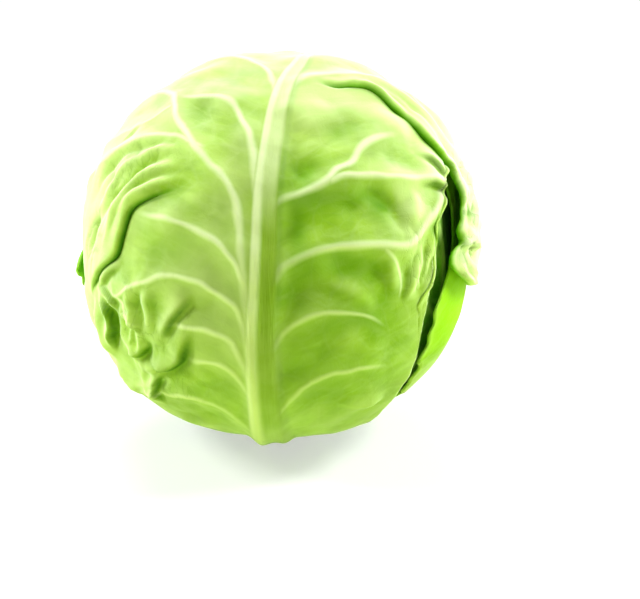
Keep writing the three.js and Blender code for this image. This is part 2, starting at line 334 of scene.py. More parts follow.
# front leaf; its flat drawing runs from the leaf's base (t 0) up to a split (t 1), and a second
# sheet of rows goes on above the split
frontLeaf = {
    "azimuth": -3.0,
    "thickness": 1.1,
    "lowerSpan": 235.0,     # mm from base to split
    "upperSpan": 65.0,      # mm above the split
    "creaseLeftT": 0.773,   # where the left fold's crease crosses the leaf
    # stations across, 0 at the midrib and 1 at the margin
    "foldStations": (0.22, 0.42, 0.58, 0.72),   # on the left: the fold begins, is full, and dies away
    "lipStations": (0.12, 0.26),                # the lip above the split begins to roll
    "looseStations": (0.56, 0.66),              # the lip turns into the loose flap
    "slitStart": 0.6,                           # the split is open from here on
    "swell": 1.3,           # heights and reaches in mm
    "ribValley": 1.8,       # hollow along the right of the midrib
    "tentHeight": 3.0,      # the blade's rise towards its veins
    "tentReach": 19.0,
    "cordHeight": 0.5,      # the veins themselves
    "freeEdgeLift": 1.3,    # the blade's edge where it stands open at the slit
    "foldLightAndShade": 0.32,       # how much paler a fold's crests are, and deeper its grooves, for each mm of height: painted light and painted shade
    "edgeSharpness": 60.0,
    "seed": 11,
}
# control net: each row is (how far up the leaf, [(station across, u, v), ...])
netLower = [
    (0, [(-1, -22, -109), (-0.6, -13, -107), (0, 0, -106), (0.5, 10, -106.8), (1, 22, -109)]),
    (0.12, [(-1, -54, -87), (-0.5, -25, -90), (0, 0, -90), (0.5, 20, -89.5), (1, 39, -86)]),
    (0.353, [(-1, -94, -62), (-0.65, -60, -57), (-0.35, -30, -55), (0, 0, -55), (0.35, 19, -56),
             (0.7, 35, -60), (1, 45, -64)]),
    (0.773, [(-1, -95, -33), (-0.74, -70, -27), (-0.65, -61, -21.5), (-0.57, -53, -17.5),
             (-0.5, -46.5, -14), (-0.45, -43, -8), (-0.41, -39.5, -2), (-0.35, -33, 0.5), (-0.25, -24, 2),
             (0, -2, 8), (0.35, 23, 4), (0.6, 40, -8), (0.8, 47, -24), (1, 48, -43)]),
    (1, [(-1, -91, -8), (-0.65, -71, 11), (-0.35, -38, 29), (-0.12, -12, 39), (0, 0, 40), (0.12, 11, 37.5),
         (0.2, 18, 36.3), (0.25, 23, 37.8), (0.3, 28, 38.6), (0.35, 33, 36.3), (0.4, 37, 33),
         (0.48, 44, 28), (0.54, 50, 23.5), (0.6, 54, 20), (0.65, 53.2, 16), (0.7, 51.2, 10.5),
         (0.76, 51.4, 4.5), (0.82, 49.2, -1.5), (0.86, 48, -5), (0.9, 49.6, -10), (0.95, 49, -18),
         (1, 44.5, -28)]),
]
netUpper = [
    (0, [(-1, -91, -7.2), (-0.65, -71, 11.7), (-0.35, -38, 29.7), (-0.12, -12, 39.7), (0, 0, 40.7),
         (0.12, 11, 38.2), (0.2, 18, 37), (0.25, 23, 38.5), (0.3, 28, 39.4), (0.35, 33.3, 37),
         (0.4, 37.5, 33.6), (0.48, 44.6, 28.5), (0.54, 50.8, 24), (0.6, 56.8, 20.4), (0.66, 61, 16),
         (0.72, 63.6, 10.5), (0.78, 63.4, 4), (0.83, 62, -1), (0.87, 64, -5), (0.91, 60.5, -9),
         (0.95, 61.5, -14), (1, 73, -18.5)]),
    (0.5, [(-1, -93, 19), (-0.65, -66, 36), (-0.35, -34, 51), (0, 2, 61), (0.35, 42, 58), (0.6, 68, 44),
           (0.8, 89, 26), (1, 106, -11)]),
    (1, [(-1, -64, 56), (-0.65, -45, 67), (-0.35, -24, 77), (0, 4, 83), (0.35, 34, 80), (0.6, 56, 73),
         (0.8, 80, 58), (1, 104, 24)]),
]
lipDistance = [0, 1.5, 3, 4.2, 6, 9, 15, 24, 34]
lipBack = [0, -1.2, -2.3, -2.6, -2.2, -1.5, -0.8, -0.3, 0]
lipRise = [0, 1.8, 3.4, 3.9, 3.6, 2.6, 1.5, 0.7, 0]
freeBack = [-2.4, -2.4, -2.2, -2.0, -1.6, -1.1, -0.4, 0, 0]
freeRise = [1.9, 2.5, 2.6, 2.5, 2.1, 1.5, 0.7, 0.2, 0]
foldDistance = [0, 2, 4, 6, 9, 14, 22, 34]
foldBack = [0, -1.2, -1.8, -1.9, -1.6, -1.1, -0.6, 0]
foldRise = [0, 1.9, 2.9, 3.2, 3.0, 2.3, 1.2, 0]

midribPath = [(-1, -106), (-2, -60), (-2.5, -40), (-1.4, -20), (-0.8, 0), (0.4, 14), (2.0, 28), (4.5, 40),
              (8, 50), (11, 62), (10, 78)]
# side veins: route, half width at start and end (mm), strength
frontVeins = [
    ([(-6, -40), (-6, -28), (-7, -12), (-8, -4), (-10, 2), (-13, 5.5), (-18, 11), (-22, 17), (-27, 25),
      (-29, 31), (-32, 38), (-46, 46), (-62, 47)], 1.0, 1.0, 0.9),
    ([(-3, -6), (-4, 9), (-5, 15), (-7, 20), (-10, 26), (-13, 29.5), (-18, 31.5), (-24, 33),
      (-31, 36)], 1.0, 0.8, 0.8),
    ([(-17, 12), (-22, 16), (-27, 19), (-33, 20.7), (-40, 21), (-47, 20), (-54, 19), (-66, 19),
      (-84, 14)], 0.7, 0.6, 0.6),
    ([(-5, -36), (-6, -24), (-9, -17), (-14, -12), (-20, -8.5), (-26, -6), (-30, -5), (-35, -3),
      (-40, -1.6)], 0.9, 0.65, 0.85),
    ([(-5, -44), (-8, -30), (-13, -26), (-20, -22), (-29, -20.6), (-34, -22), (-41, -23), (-47, -25.5),
      (-53, -23), (-59, -21)], 0.85, 0.6, 0.85),
    ([(-47, -25.5), (-44.5, -28), (-45, -30), (-42.5, -33), (-39, -35)], 0.8, 0.6, 0.7),
    ([(-5, -50), (-10, -39), (-16, -36), (-22, -35), (-31, -34)], 0.9, 0.6, 0.65),
    ([(-5, -56), (-11, -47), (-17, -45), (-26, -45)], 0.9, 0.6, 0.55),
    ([(-6, -72), (-18, -60), (-36, -58), (-60, -62)], 1.0, 0.6, 0.6),
    ([(1, 28), (-1, 40), (-5, 46), (-10, 51), (-18, 56), (-30, 61)], 0.8, 0.7, 0.8),
    ([(3, 26), (5, 34), (9, 39), (15, 42), (23, 44.5), (33, 47), (45, 47), (58, 42),
      (74, 30)], 0.9, 0.7, 0.75),
    ([(0.5, -5), (3, -1.8), (9, 0.6), (14, 3.2), (17, 6.6), (21, 9.5), (24, 14.5), (28, 18), (33, 21),
      (37, 23)], 0.9, 1.0, 0.9),
    ([(14, 3.2), (21, 5.8), (30, 7), (41, 9), (49, 11), (57, 13)], 0.9, 0.9, 0.85),
    ([(0.5, -24), (4, -19), (10, -15.5), (14.5, -14), (21, -13), (29, -12), (36.5, -11.6), (39.5, -10),
      (42.5, -6), (46, -1.5), (49, 3), (51.5, 9), (55, 18)], 0.8, 1.4, 1.0),
    ([(30, -12), (34, -15.5), (37, -21), (38, -27)], 0.6, 0.4, 0.28),
    ([(0.5, -42), (4, -37), (11, -32), (18, -30.5), (27, -31.5), (35, -35)], 0.8, 0.5, 0.55),
    ([(0, -66), (3, -61), (12, -51), (26, -47), (38, -47)], 0.9, 0.6, 0.6),
    ([(45, 47), (56, 36), (66, 24), (72, 10)], 0.7, 0.5, 0.6),
    ([(9, 50), (22, 62), (40, 68), (60, 62)], 0.9, 0.6, 0.7),
    ([(-29, 31), (-40, 28), (-54, 30), (-72, 34)], 0.6, 0.4, 0.4),
]
# sharp small folds: route, height (mm, negative turns the steep side round), reach on the high side (mm),
# painted shade line at the fold's foot
bladePleats = [
    ([(42, 18), (46.5, 18.5), (50, 17.3), (52, 15), (54.5, 12.5)], 1.8, 6.0, 0.8),
    ([(41, 7.5), (45.5, 9.3), (48, 9.6), (52, 8.8), (57, 6)], 2.2, 7.0, 0.9),
    ([(-59, -22), (-54, -19.5), (-49, -17), (-44, -16.5)], 1.6, 4.0, 0.5),
    ([(-60, -22), (-56, -23.5), (-51, -27), (-48, -31)], -1.8, 4.0, 0.6),
    ([(-59, -23), (-56, -27), (-53.5, -31), (-53.5, -35), (-56.5, -39), (-57, -46)], -3.4, 7.0, 1.0),
    ([(-20, -25), (-23.5, -28), (-27, -31.5), (-29, -34), (-33, -38)], -2.2, 5.0, 0.8),
    ([(-21, -35), (-24, -38.5), (-26, -42), (-27.5, -45), (-31, -47), (-35, -47.5),
      (-40, -45)], -2.7, 6.5, 1.0),
    ([(-32, -50), (-36.5, -51), (-39, -54), (-40.5, -58), (-40, -64)], -2.4, 5.0, 0.9),
    ([(-44, -28.5), (-46.5, -30.5), (-43, -33.5), (-38, -36)], 1.5, 4.0, 0.5),
    ([(-37, -39), (-40, -42), (-43.5, -44), (-48, -43)], -1.8, 4.0, 0.8),
    ([(45, -6), (46.5, -12), (45.5, -19), (43, -25)], 1.2, 4.0, 0.2),
    ([(49, -9), (49.5, -14), (47.5, -20), (45, -26)], 1.3, 3.0, 0.3),
    ([(40, -14), (40.5, -20), (39, -28)], 1.3, 4.0, 0.2),
    ([(-62, -48), (-58, -56), (-50, -62)], 2.0, 6.0, 0.4),
    ([(18, -58), (28, -62), (40, -60)], 1.4, 6.0, 0.2),
    ([(-14, -66), (-26, -70), (-40, -72)], 1.6, 7.0, 0.2),
]
flapPleats = [
    ([(63, 2), (68, 4.5), (73, 6), (80, 6)], -2.6, 6.0, 0.5),
    ([(61, -8), (66, -5), (74, -6)], 2.6, 5.0, 0.6),
    ([(60, -13), (67, -12), (77, -15)], 2.0, 4.0, 0.3),
    ([(27, 42), (36, 40), (44, 35.5), (50, 31), (56, 25)], -1.1, 4.0, 0.2),
    ([(58, 33), (64, 27), (68, 18), (70, 8)], 1.3, 5.0, 0.1),
    ([(80, 20), (84, 6), (84, -8)], 1.6, 8.0, 0.0),
]
# soft long wrinkles: route, height (mm, negative for a groove), half width (mm)
bladeWrinkles = [
    ([(-20, 6), (-30, 5), (-36, 3), (-44, 0), (-49, -5), (-53, -12)], 1.6, 2.2),
    ([(-24, 7), (-32, 5.8), (-39, 2.8), (-46, -2.5), (-51, -9)], -1.0, 1.6),
    ([(-19, 8.5), (-26.5, 9.5), (-34.5, 8), (-41, 4), (-48, -1), (-55, -9)], 1.6, 2.0),
    ([(-25, 12), (-31, 12), (-37, 11), (-43.5, 7.5), (-51, 2.5), (-57, -5)], -1.3, 1.8),
    ([(-20, 12), (-30, 15), (-38, 14.5), (-46, 12), (-53, 6), (-59, -2)], 1.5, 2.0),
    ([(-26, 16), (-36, 18), (-44, 18), (-53, 15), (-61, 8)], -1.4, 2.0),
    ([(-30, 20), (-42, 20), (-54, 20), (-66, 16)], 1.2, 5.0),
    ([(-38, 27), (-50, 26), (-62, 20)], -1.0, 4.0),
    ([(-55, 2), (-59, -4), (-62, -12)], -1.6, 3.2),
    ([(-41.5, -23), (-42, -28), (-41, -33)], 1.3, 2.4),
    ([(-37, -23), (-38.6, -28), (-37.5, -36)], -1.1, 1.8),
    ([(-34.5, -22), (-35, -28), (-35.5, -33), (-37, -38)], 1.5, 2.6),
    ([(-45, -38), (-38, -37.5), (-30, -40)], 1.2, 3.6),
    ([(-30, -50), (-36, -48.5), (-45, -50)], 1.3, 3.0),
    ([(-63, -24), (-63, -34), (-61, -42), (-57, -50)], 2.4, 3.6),
    ([(-50, -38), (-46, -44), (-40, -50)], 1.0, 4.0),
    ([(20, 1.5), (27, 2), (33, -1), (36, -6), (37.5, -10)], -2.0, 4.2),
    ([(40, 6), (40, 0), (38.5, -6)], 1.1, 3.0),
    ([(6, 3), (10, 6), (14, 8)], -1.3, 4.5),
    ([(8, -3), (18, -2), (26, -3)], -1.0, 5.0),
    ([(12, -17), (22, -18), (30, -20), (33, -26)], -1.9, 5.5),
    ([(11, -22), (18, -23), (25, -26), (31, -31)], 1.1, 3.2),
    ([(31, -14), (34, -19), (36, -26)], 1.2, 2.8),
    ([(43, -10), (43, -17), (41, -25)], 1.2, 2.4),
    ([(46.5, -4), (48, -9), (47.5, -15)], 1.0, 2.2),
    ([(26, 32), (34, 27), (42, 22)], 1.0, 7.0),
    ([(28, 14), (37, 13), (46, 14)], -1.0, 5.0),
    ([(8, 18), (12, 25), (16, 31)], 1.0, 7.0),
    ([(14, 16), (20, 22), (23, 28)], -0.9, 6.0),
    ([(14, -40), (26, -40), (38, -42)], 1.2, 6.0),
    ([(-14, 34), (-20, 27), (-17, 20)], -0.9, 5.0),
    ([(-12, 14), (-9, 22), (-8, 30)], -0.8, 5.0),
    ([(-14, -2), (-22, -2), (-30, -10)], 0.9, 6.0),
    ([(-10, -28), (-18, -29), (-26, -27)], -0.9, 5.0),
    ([(-83, 14), (-83, 0), (-82, -10), (-80, -24)], -1.7, 11.0),
]
flapWrinkles = [
    ([(-82, 24), (-83, 12), (-83, 0), (-82, -10)], -1.7, 11.0),
    ([(34, 44), (44, 41), (54, 34), (62, 26), (68, 14)], 1.0, 3.0),
    ([(36, 52), (52, 46), (66, 36), (76, 20)], 1.2, 5.0),
    ([(50, 58), (66, 50), (80, 36), (92, 14)], 1.4, 7.0),
    ([(-12, 48), (-26, 48), (-40, 52)], 1.0, 6.0),
    ([(70, 22), (76, 12), (80, -2)], 1.4, 5.0),
    ([(66, -8), (71, -9), (76, -10)], -1.4, 3.0),
    ([(62, -1), (65.5, -6), (67, -12)], -2.0, 2.4),
    ([(59, -9), (61.5, -13), (66, -16), (73, -19)], 1.5, 1.8),
    ([(66, 12), (68, 4), (69, -4)], 1.2, 2.4),
    ([(24, 41), (31, 41.5), (38, 38.5), (45, 33.5)], -0.9, 2.6),
    ([(28, 46), (38, 44), (47, 38), (55, 30)], 0.9, 2.6),
    ([(52, 33), (58, 27), (63, 20), (66, 12)], -1.2, 2.6),
    ([(44, 44), (56, 38), (66, 27), (72, 12), (74, 0)], -1.0, 3.4),
]
# creased patches: u, v, reach across, reach up, turn of the folds (degrees), grain (degrees),
# height (mm, negative for sharp crests, else sharp grooves), painted shade line along the sharp folds
frontCrumples = [
    (-41, -36, 14, 13, 72, 4.6, -2.3, 0.0),
    (-36, -56, 14, 9, 20, 4.8, -2.1, 0.0),
    (-43, 12, 15, 10, 28, 3.6, 1.2, 0.2),
    (-60, -4, 8, 12, 65, 3.6, 1.5, 0.3),
    (45, -14, 7, 15, 88, 3.0, 1.1, 0.2),
    (67, 14, 10, 22, 105, 3.8, 1.6, 0.45),
    (66, -9, 7, 9, 20, 3.4, 2.0, 0.6),
]
# painted light and painted shade on the front leaf, as paler and deeper patches: u, v, reach across, reach up
# (degrees), amount (negative is deeper)
frontLightAndShade = [
    (24, 26, 16, 10, -0.15), (24, 16, 9, 7, -0.2), (39, 12, 10, 8, 0.5), (36, 3, 4, 5, 0.5),
    (15, 34, 12, 8, 1.0), (36, 30, 12, 8, 0.7), (49, -4, 4, 10, -0.9), (-34, 22, 16, 9, 0.45),
    (-52, 6, 14, 16, 0.5), (-13, 27, 9, 9, 0.25), (-62, -2, 12, 24, 0.7), (-18, -26, 13, 16, 0.35),
    (-8, -40, 9, 22, 0.4), (44, -8, 8, 16, 0.35), (20, 50, 60, 12, 0.4), (7, -9, 5, 17, -0.8),
    (8, 22, 7, 8, 0.6), (24, -1, 8, 4, -0.4), (32, -3, 3.5, 6, -0.9), (39, 1, 7, 8, 1.0),
    (28, -28, 10, 8, -0.45), (-38, -43, 10, 8, -0.55), (-34, -28, 2.5, 6, -0.7), (-43, -27, 2, 5, -0.7),
    (-55, -33, 3, 6, -0.8), (-25, -42, 3, 6, -0.6), (-46, 6, 8, 2.5, -0.5), (-28, 3, 10, 3, -0.4),
    (-30, -14, 12, 7, -0.3), (20, -42, 30, 12, -0.4), (65.5, 2, 3.5, 4, -1.0), (63, -7, 3, 4, -1.0),
    (49, -7, 3, 5, -0.5),
]
# waxy grey-green patches: u, v, reach across, reach up, amount
frontMilk = [(-17, -30, 12, 17, 0.85), (-3, -34, 6, 24, 0.6), (-8, 2, 8, 16, 0.7)]


def fade(along, full, last):
    # 0 at both ends of a route, 1 between two shares of its length
    return between(along, 0.0, full, last, 1.0)


def patch(u, v, centreU, centreV, reachU, reachV):
    return np.exp(-((u - centreU) / reachU) ** 2 - ((v - centreV) / reachV) ** 2)


def tintField(u, v, tints, size, seed):
    # soft patches with uneven outlines, from -1 to 1
    bentU = u + 2.5 * softNoise(u, v, size, seed)
    bentV = v + 2.5 * softNoise(u, v, size, seed + 2)
    field = np.zeros_like(u)
    for *shape, amount in tints:
        field += amount * patch(bentU, bentV, *shape)
    return np.clip(field, -1.0, 1.0)


def sortVeins(veins):
    # veins that meet go to different channels, so that a channel has one clear nearest vein everywhere
    channels = [[] for _ in range(veinChannels)]
    for route, startWidth, endWidth, strength in veins:
        fine = roundRoute(route)
        room = [min([alongRoute(other[0], *fine.T)[0].min() for other in channel], default=99.0)
                for channel in channels]
        free = [k for k, gap in enumerate(room) if gap > 7.0]
        pick = free[0] if free else int(np.argmax(room))
        channels[pick].append((fine, startWidth, endWidth, strength))
    return channels


midrib = {      # half width and height (mm) by how far up the leaf (degrees)
    "widthKnots": [-108, -90, -50, 0, 40, 84],
    "halfWidths": [16, 12, 7.0, 4.9, 4.2, 1.8],
    "heightKnots": [-108, -80, -40, 0, 40, 84],
    "heights": [3.4, 2.8, 2.0, 1.6, 1.2, 0.4],
}


def ribRelief(u, v, path, valleyDepth):
    distance, _, side = alongRoute(roundRoute(path, 3), u, v)
    halfWidth = throughKnots(midrib["widthKnots"], midrib["halfWidths"], np.clip(v, -108, 84))
    height = throughKnots(midrib["heightKnots"], midrib["heights"], np.clip(v, -108, 84))
    toRight = distance * -side
    across = toRight / halfWidth            # -1 left edge, +1 right edge
    plateau = smoothStep(1.5, 0.55, np.abs(across))
    # fuller to the left of its middle, with a hollow along the right side
    ridge = 0.34 * hump(across + 0.55, 0.35) - 0.22 * hump(across - 0.2, 0.45)
    valley = hump(toRight - halfWidth - 6.0, 6.5) * between(v, -62, -30, 6, 34)
    return across, plateau, height * (plateau + ridge * plateau) - valleyDepth * valley


def veinRelief(u, v, spec, veins, seed):
    # the blade rises like a tent towards its veins, and each vein is a cord on top
    tent = np.zeros_like(u)
    cord = np.zeros_like(u)
    masks = {"halo": np.zeros_like(u)}
    wobble = 0.5 * softNoise(u, v, 4.0, seed + 5)
    uneven = 1 + 0.28 * softNoise(u, v, 7.0, seed + 15)
    fading = 0.92 + 0.16 * softNoise(u, v, 12.0, seed + 17)
    for channel, members in enumerate(sortVeins(veins)):
        first = np.full(u.shape, 99.0)
        veinSide = np.full(u.shape, 9.0)
        veinForce = np.zeros_like(u)
        for fine, startWidth, endWidth, strength in members:
            away, along, side = alongRoute(fine, u, v)
            signed = away * side + wobble
            away = np.abs(signed)
            width = (startWidth + (endWidth - startWidth) * along) * uneven
            atRib = 0.55 if abs(fine[0, 0]) < 12 else 0.1       # veins start faint at the midrib
            start = smoothStep(0.0, 0.04, along) * (1 - atRib * smoothStep(0.35, 0.0, along))
            ends = smoothStep(1.0, 0.75, along)
            force = (0.5 + 0.5 * strength) * start * ends * fading
            slope = np.clip(1 - away / spec["tentReach"], 0, 1) ** 1.35
            tent += (strength * (0.3 + 0.7 * ends) * slope) ** 4
            cord = np.maximum(cord, strength * start * ends * hump(away, np.maximum(1.6 * width + 0.5, 2.1)))
            masks["halo"] = np.maximum(masks["halo"], force * hump(away, 5.0))
            closer = away < first
            first = np.where(closer, away, first)
            veinSide = np.where(closer, signed / (width + 0.25), veinSide)
            veinForce = np.where(closer, force * smoothStep(3.6, 2.4, away), veinForce)
        masks["veinSide%d" % channel] = veinSide
        masks["veinForce%d" % channel] = veinForce
    return tent ** 0.25, cord, masks


def foldRelief(u, v, pleats, wrinkles, crumples, seed):
    # a pleat has one steep side with a small valley at its foot, a wrinkle is even on both sides
    folded = np.zeros_like(u)
    crease = np.zeros_like(u)
    crumpled = np.zeros_like(u)
    for route, rise, reach, dark in pleats:
        away, along, side = alongRoute(roundRoute(route), u, v)
        away = away * side * np.sign(rise) + 0.5 * softNoise(u, v, 5.0, seed + 9)
        ends = fade(along, 0.4, 0.7)
        profile = np.where(away > 0, np.exp(-(np.abs(away) / reach) ** 1.3), hump(away, 1.5))
        folded += 1.3 * abs(rise) * ends * (profile - 0.3 * hump(away + 3.4, 2.2))
        # painted shade along the foot of the steep side
        crease = np.maximum(crease, dark * ends * hump(away + 1.3, 1.2))
    for route, rise, halfWidth in wrinkles:
        away, along, side = alongRoute(roundRoute(route), u, v)
        away = away * side + 0.8 * softNoise(u, v, 6.0, seed + 7)
        folded += 1.35 * rise * fade(along, 0.35, 0.65) * hump(away, halfWidth)
    for centreU, centreV, reachU, reachV, lean, grain, rise, dark in crumples:
        region = patch(u, v, centreU, centreV, reachU, reachV)
        bentU = u - centreU + 3.0 * softNoise(u, v, 9.0, seed + 31)
        bentV = v - centreV + 3.0 * softNoise(u, v, 9.0, seed + 33)
        lengthwise, crosswise = turnedAxes(bentU, bentV, lean)
        folds = np.abs(softNoise(lengthwise * 0.42, crosswise, grain, seed + 35))
        crumpled = np.maximum(crumpled, region * min(1.0, abs(rise) / 1.8))
        folded += rise * region * (folds ** 0.7 - 0.5)
        # painted shade along the patch's sharp folds
        crease = np.maximum(crease, dark * smoothStep(0.2, 0.6, region) * smoothStep(0.16, 0.02, folds))
    return folded, crease, crumpled


def leafRelief(u, v, spec, path, veins, pleats=(), wrinkles=(), crumples=()):
    # height over the bare head, height of the folds alone (mm), painted shade lines along the folds, masks
    # for the colours
    seed = spec["seed"]
    across, plateau, height = ribRelief(u, v, path, spec["ribValley"])
    tent, cord, masks = veinRelief(u, v, spec, veins, seed)
    height = height + spec["tentHeight"] * tent * (1 - 0.75 * plateau) \
        + spec["cordHeight"] * cord * (1 - 0.8 * plateau)
    folded, crease, crumpled = foldRelief(u, v, pleats, wrinkles, crumples, seed)
    swell = spec["swell"] * smoothStep(head["leafBase"], -80, v)
    onRight = smoothStep(-6, 6, u)
    for size, share in ((7.0, 0.5), (3.4, 0.26)):       # grain in degrees, share of the swell
        rightward = streaks(u, v, size, 24, seed + 1)
        leftward = streaks(u, v, size, 146, seed + 2)
        folded += swell * share * (onRight * rightward + (1 - onRight) * leftward)
    height += swell * (0.8 + 0.45 * softNoise(u, v, 17.0, seed)) + folded
    masks.update(ribAcross=across, crumpled=crumpled)
    return height, folded, crease, masks


def netPoint(net, s, t):
    # the leaf's flat drawing at a station across and a share of the way up
    knots = [entry[0] for entry in net]
    both = []
    for axis in (1, 2):
        rows = [throughKnots([point[0] for point in entry[1]], [point[axis] for point in entry[1]], s)
                for entry in net]
        both.append(throughKnots(knots, np.stack(rows), t))
    return both


def foldAt(distance, knots, backs, rises):
    # how far a fold is pushed back over itself and lifted, by the distance past its crease (mm)
    near = np.clip(distance, 0, knots[-1])
    inside = distance < knots[-1]
    return (np.where(inside, throughKnots(knots, backs, near), 0.0),
            np.where(inside, throughKnots(knots, rises, near), 0.0))


def frontColumns():
    # stations are close together but for the hidden margins
    near = np.linspace(0, 0.74, 90)
    far = np.linspace(0.74, 1.0, 18)[1:]
    half = np.concatenate([near, far])
    return np.concatenate([-half[:0:-1], half])


def frontRows():
    # rows are closest at the fold's crease and in the lip (mm past each)
    crease = frontLeaf["creaseLeftT"]
    hidden = np.linspace(0, 0.33, 24)[:-1]
    shown = np.linspace(0.33, crease, 94)
    pastCrease = np.array([0.7, 1.4, 2.1, 2.8, 3.5, 4.2, 4.9, 5.7, 6.6, 7.7, 9.0, 10.4])
    folded = crease + pastCrease / frontLeaf["lowerSpan"]
    above = np.linspace(folded[-1], 1.0, 38)[1:]
    lip = np.concatenate([np.arange(0, 7, 0.7), [7.8, 8.9, 10.2]])
    upper = np.concatenate([lip, np.linspace(11.6, frontLeaf["upperSpan"], 38)])
    return np.concatenate([hidden, shown, folded, above]), upper / frontLeaf["upperSpan"]


lowerRows, upperRows = frontRows()
splitRow = len(lowerRows) - 1


def bladeForm(s, t):
    # below the split: the blade folds over at the left and ends in a free edge at the right
    span = frontLeaf["lowerSpan"]
    past = (t - frontLeaf["creaseLeftT"]) * span
    strength = between(-s, *frontLeaf["foldStations"])
    back, rise = foldAt(past, foldDistance, foldBack, foldRise)
    active = np.where(past > 0, strength * smoothStep(1.0, 0.9, t), 0.0)
    u, v = netPoint(netLower, s, t + back * active / span)
    toSplit = (1 - t) * span
    # painted shade in the fold's crevice and under the lip's overhang
    inFold = strength * between(past, -2.6, -0.6, 1.8, 3.6)
    underLip = between(s, 0.12, 0.4, 0.56, 0.62) * np.exp(-toSplit / 1.6)
    return {"u": u, "v": v, "lift": rise * active,
            # the fold's turned face: the leaf's inner-side green with painted shade
            "wall": 0.8 * active * between(past, 0.0, 1.0, 1.6, 3.6),
            "crevice": np.maximum(inFold, underLip),
            "freeEdge": smoothStep(0.6, 0.66, s) * np.exp(-toSplit / 3.0)}


def flapForm(s, t):
    # above the split: a rolled lip that turns into the loose, ruffled flap at the right
    span = frontLeaf["upperSpan"]
    past = t * span
    rolled = smoothStep(*frontLeaf["lipStations"], s)
    strength = rolled * (0.62 + 0.38 * smoothStep(0.45, 0.62, s))
    loose = smoothStep(*frontLeaf["looseStations"], s)
    uneven = softNoise(s * 100, 7.0 * t, 4.2, 71)
    wave = softNoise(s * 100, 7.0 * t, 2.3, 73)
    back, rise = foldAt(past * 1.6, lipDistance, lipBack, lipRise)
    looseBack, looseRise = foldAt(past, lipDistance, freeBack, freeRise)
    back = (0.8 * back * (1 - loose) + looseBack * loose) * (1 + 0.4 * uneven + 0.25 * wave)
    rise = (0.85 * rise * (1 - loose) + looseRise * loose) * (1 + 0.42 * uneven + 0.25 * wave)
    away = t + back * strength / span
    u, v = netPoint(netUpper, s, np.clip(away, 0, None))
    nextU, nextV = netPoint(netUpper, s, np.full(away.shape, 0.02))
    zeroU, zeroV = netPoint(netUpper, s, np.zeros(away.shape))
    over = np.clip(away, None, 0) / 0.02        # past the drawing's own edge it goes straight on
    ruffle = smoothStep(0.8, 1.0, t)
    u = u + (nextU - zeroU) * over + 1.8 * ruffle * softNoise(s * 40, np.full_like(s, 3.0), 4.0, 61)
    v = v + (nextV - zeroV) * over + 3.0 * ruffle * softNoise(s * 40, np.full_like(s, 5.0), 4.0, 63)
    lift = rise * strength + ruffle * (0.7 + softNoise(s * 60, np.ones_like(s), 4.0, 65))
    wallReach = 1.8 - 1.6 * loose
    # pale: the flap's paler margin, with a painted highlight where the lamps on the right blow it out
    pale = smoothStep(0.42, 0.6, s) * smoothStep(3.0 - 2.6 * loose, 4.4 - 3.2 * loose, past)
    return {"u": u, "v": v, "lift": lift,
            # the lip's turned face: the leaf's inner-side green with painted shade
            "wall": rolled * smoothStep(wallReach + 1.2, wallReach - 0.6, past),
            # painted shade in the lip's crevice
            "crevice": rolled * smoothStep(2.2, 0.6, past) * (1 - loose),
            "pale": pale * smoothStep(50, 24, past)}


def placeFront(s, row):
    t = np.concatenate([lowerRows, upperRows])[row]
    fields = {"freeEdge": np.zeros_like(s), "pale": np.zeros_like(s)}
    for part, form, pleats, wrinkles in ((row <= splitRow, bladeForm, bladePleats, bladeWrinkles),
                                         (row > splitRow, flapForm, flapPleats, flapWrinkles)):
        found = form(s[part], t[part])
        found["relief"], found["folded"], found["crease"], masks = leafRelief(
            found["u"], found["v"], frontLeaf, midribPath, frontVeins, pleats, wrinkles, frontCrumples)
        for key, value in {**found, **masks}.items():
            fields.setdefault(key, np.zeros_like(s))[part] = value
    u, v, lift, relief, folded, crease, freeEdge = (
        fields.pop(key) for key in ("u", "v", "lift", "relief", "folded", "crease", "freeEdge"))
    lift += frontLeaf["freeEdgeLift"] * freeEdge * (1 + 0.6 * np.sin(s * 60))
    points = layOnHead(frontLeaf["azimuth"], u, v, lift + relief * (1 - 0.85 * fields["wall"]))
    # painted light and painted shade: the patches above, and the folds paler on their crests and deeper in
    # their grooves
    shadeAndTone = tintField(u, v, frontLightAndShade, 7.0, 81) + frontLeaf["foldLightAndShade"] * np.clip(folded, -2.0, 2.0)
    fields["shadeAndTone"] = shadeAndTone
    fields["pale"] *= np.clip(1 + shadeAndTone, 0.0, 1.0)
    fields["milk"] = tintField(u, v, frontMilk, 6.0, 87)
    # the painted shade of the fold lines goes in with the painted shade of the crevices
    fields["crevice"] = np.maximum(fields["crevice"], crease)
    fields["edge"] = np.maximum(np.exp(-(1 - np.abs(s)) * frontLeaf["edgeSharpness"]), freeEdge ** 3)
    return points, u, v, fields


def cutFront(columnEnd, row):
    return row == splitRow and columnEnd > frontLeaf["slitStart"] + 0.01


frontPiece = sheetMesh("frontLeaf", frontColumns(), len(lowerRows) + len(upperRows), placeFront, cutFront)
giveThickness(frontPiece, frontLeaf["thickness"])
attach(frontPiece, "root")
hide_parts("leaf_1")
print("front leaf has", len(frontPiece.data.vertices), "points")

# other wrapper leaves: half width, height up the leaf and droop of the margins (degrees) by share of length
wrapT = [0, 0.12, 0.36, 0.62, 0.84, 1]
wrapV = [-106, -90, -50, 2, 42, 66]
wrapWidth = [21, 56, 90, 97, 86, 50]
wrapDroop = [2, 2, 6, 22, 36, 36]
wrapperRib = [(0, -106), (0, -60), (1, -20), (-1, 20), (0, 60)]
